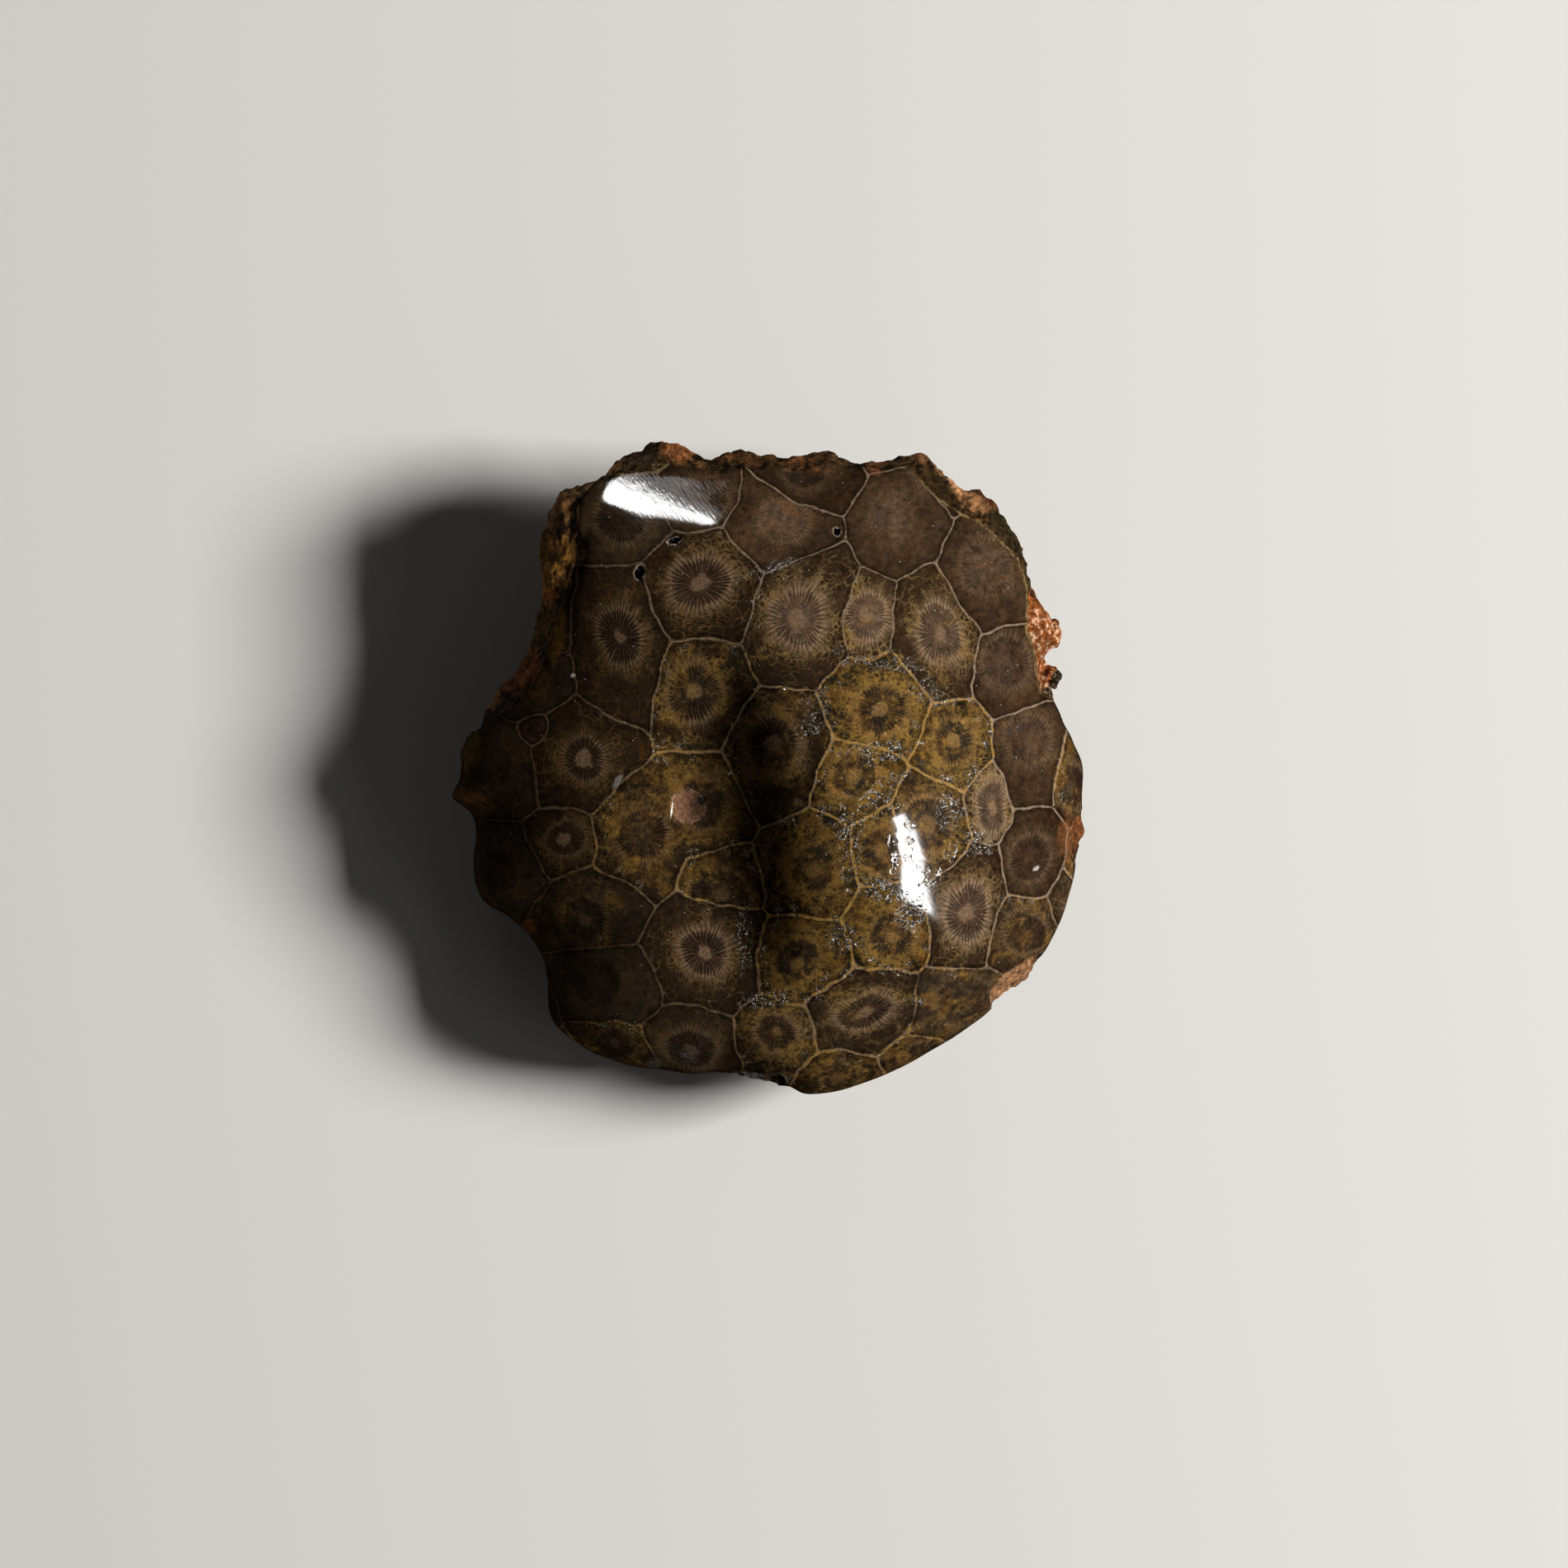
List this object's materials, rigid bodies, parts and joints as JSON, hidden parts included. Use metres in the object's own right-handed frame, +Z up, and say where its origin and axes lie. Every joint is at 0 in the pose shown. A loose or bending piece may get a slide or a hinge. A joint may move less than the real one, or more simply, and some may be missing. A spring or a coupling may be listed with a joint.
{
  "type": "petoskey stone",
  "caption": "Freeform polished slab of fossil coral limestone with a rolling ground face, rough natural crust and a flat resting spot; a display stone",
  "frame": {"origin": "middle of the stone's bounding box in plan, on the plane of the flat spot it rests on", "axes": "+Z up out of the polished face, +Y towards the top of the stone as its face is looked at, +X to the right"},
  "size_m": [0.0774, 0.0796, 0.033],
  "materials": {
    "polished_coral_limestone": "ground and polished fossil coral limestone, dark brown with tan cell walls and ochre stains; the edges and the underside are rough natural crust"
  },
  "bodies": {
    "root": {"petoskey_stone": "polished_coral_limestone"}
  },
  "joints": []
}
